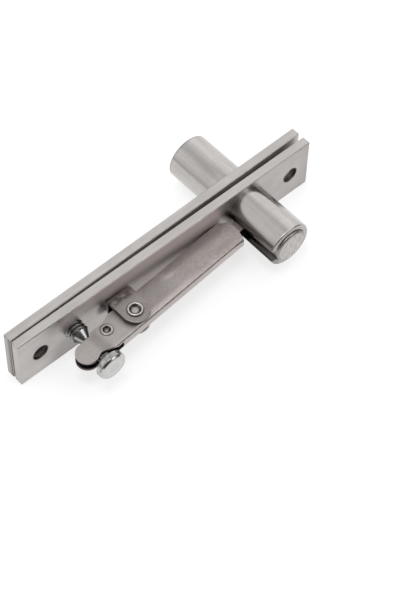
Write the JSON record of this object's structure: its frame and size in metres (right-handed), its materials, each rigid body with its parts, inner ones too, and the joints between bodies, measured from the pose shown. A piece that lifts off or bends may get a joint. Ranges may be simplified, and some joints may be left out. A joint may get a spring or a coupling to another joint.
{
  "type": "concealed pivot hinge",
  "caption": "Concealed pivot hinge for a double-action door: a slotted barrel with a sliding pin, worked by a screw and a rocking lever, and a plate with a closed socket.",
  "frame": {"origin": "on the pivot axis, at the face of the pin plate that lies against the door", "axes": "+X along the plates to their near end, +Y along the pivot axis to the socket, +Z across the plates"},
  "size_m": [0.13, 0.0535, 0.022],
  "materials": {
    "plate": "satin, brushed lengthwise",
    "turned": "fine turned",
    "pin": "fine turned",
    "sheet": "satin sheet",
    "rivet": "bright",
    "screw": "turned, bright"
  },
  "bodies": {
    "pin_half": {"pin_plate": "plate", "slotted_barrel": "turned", "lever_bracket": "sheet", "lever_rivet": "rivet"},
    "lever": {"rocker_lever": "sheet", "spacer_rivet": "rivet"},
    "pin": {"pivot_pin": "pin"},
    "screw": {"adjusting_screw": "screw"},
    "socket_half": {"socket_plate": "plate", "socket_barrel": "turned"}
  },
  "joints": [
    {"name": "socket_swing", "type": "hinge", "parent": "pin_half", "child": "socket_half", "pos_m": [0, 0, 0], "axis": [0, 1, 0], "continuous": true},
    {"name": "lever_rock", "type": "hinge", "parent": "pin_half", "child": "lever", "pos_m": [-0.0587, -0.0094, 0], "axis": [0, 0, -1], "range_deg": [0, 8]},
    {"name": "pin_slide", "type": "slide", "parent": "pin_half", "child": "pin", "axis": [0, -1, 0], "range_m": [0, 0.00754]},
    {"name": "screw_feed", "type": "slide", "parent": "pin_half", "child": "screw", "axis": [0, 1, 0], "range_m": [0, 0.00258]}
  ],
  "couplings": [
    {"joint": "pin_slide", "follows": "lever_rock", "m_per_rad": 0.053955},
    {"joint": "screw_feed", "follows": "lever_rock", "m_per_rad": 0.018485}
  ]
}
